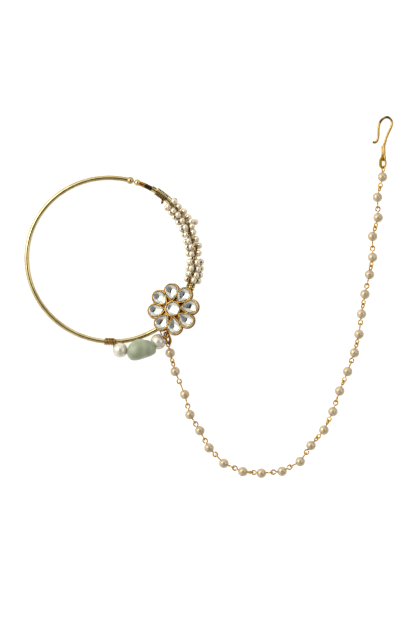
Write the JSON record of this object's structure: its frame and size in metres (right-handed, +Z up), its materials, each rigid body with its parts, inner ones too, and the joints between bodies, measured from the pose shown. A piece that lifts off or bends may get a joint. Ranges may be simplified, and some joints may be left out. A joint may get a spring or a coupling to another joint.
{
  "type": "nath nose ring",
  "caption": "Large open nose hoop with a stone flower, a seed pearl sleeve, three bound beads and a pearl chain ending in a wire ear hook.",
  "frame": {"origin": "bottom centre of the bounding box, on the surface the piece lies on", "axes": "+Z up from the surface, +Y up the picture towards the ear hook, +X from the hoop to the chain"},
  "size_m": [0.1196, 0.1174, 0.0086],
  "materials": {
    "hoop_gold": "polished pale gold plating, a little tarnished",
    "flower_gold": "polished orange gold plating",
    "chain_gold": "bright gold-coloured wire",
    "ivory_pearl": "soft pearl lustre",
    "champagne_pearl": "soft champagne pearl lustre",
    "green_stone": "tumbled, cloudy pale green",
    "foiled_glass": "clear cut glass over silver foil"
  },
  "bodies": {
    "root": {"hoop": "hoop_gold", "hoop_end_cap": "flower_gold", "pearl_wire": "hoop_gold", "seed_pearls": "ivory_pearl", "bead_wire": "hoop_gold", "pearl_bead_left": "ivory_pearl", "green_bead": "green_stone", "pearl_bead_right": "ivory_pearl", "flower_setting": "flower_gold", "petal_stone_1": "foiled_glass", "petal_stone_2": "foiled_glass", "petal_stone_3": "foiled_glass", "petal_stone_4": "foiled_glass", "petal_stone_5": "foiled_glass", "petal_stone_6": "foiled_glass", "petal_stone_7": "foiled_glass", "petal_stone_8": "foiled_glass", "centre_stone": "foiled_glass", "jump_ring": "chain_gold", "chain_link_01": "champagne_pearl", "chain_link_02": "champagne_pearl", "chain_link_03": "champagne_pearl", "chain_link_04": "champagne_pearl", "chain_link_05": "champagne_pearl", "chain_link_06": "champagne_pearl", "chain_link_07": "champagne_pearl", "chain_link_08": "champagne_pearl", "chain_link_09": "champagne_pearl", "chain_link_10": "champagne_pearl", "chain_link_11": "champagne_pearl", "chain_link_12": "champagne_pearl", "chain_link_13": "champagne_pearl", "chain_link_14": "champagne_pearl", "chain_link_15": "champagne_pearl", "chain_link_16": "champagne_pearl", "chain_link_17": "champagne_pearl", "chain_link_18": "champagne_pearl", "chain_link_19": "champagne_pearl", "chain_link_20": "champagne_pearl", "chain_link_21": "champagne_pearl", "chain_link_22": "champagne_pearl", "chain_link_23": "champagne_pearl", "chain_link_24": "champagne_pearl", "chain_link_25": "champagne_pearl", "chain_link_26": "champagne_pearl", "hook_ring": "chain_gold", "ear_hook": "chain_gold"}
  },
  "joints": []
}
